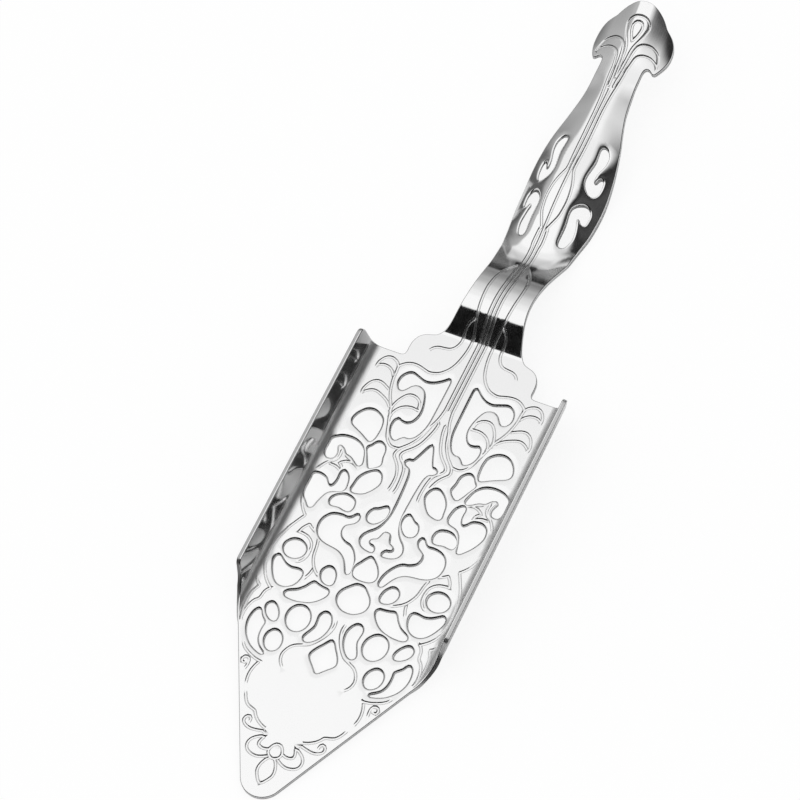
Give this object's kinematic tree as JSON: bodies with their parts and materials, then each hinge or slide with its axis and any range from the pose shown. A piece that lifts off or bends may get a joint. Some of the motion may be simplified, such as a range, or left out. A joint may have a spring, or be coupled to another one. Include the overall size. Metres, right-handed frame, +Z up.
{
  "type": "absinthe spoon",
  "caption": "Flat pointed spoon pierced with scrolls and drops, with folded side flanges and a pressed arched handle; it lies across a glass and holds a sugar cube.",
  "frame": {"origin": "middle of the box round the spoon, on the surface that it lies on", "axes": "+Y from the pointed tip to the bud at the handle's end, +X to the right seen from above with the handle away, +Z up; the bowl's floor slopes up to the handle by about 2 degrees, as the spoon lies"},
  "size_m": [0.0394, 0.1608, 0.0118],
  "materials": {
    "polished_steel": "polished stainless steel with fine handling scratches"
  },
  "bodies": {
    "root": {"spoon": "polished_steel"}
  },
  "joints": []
}
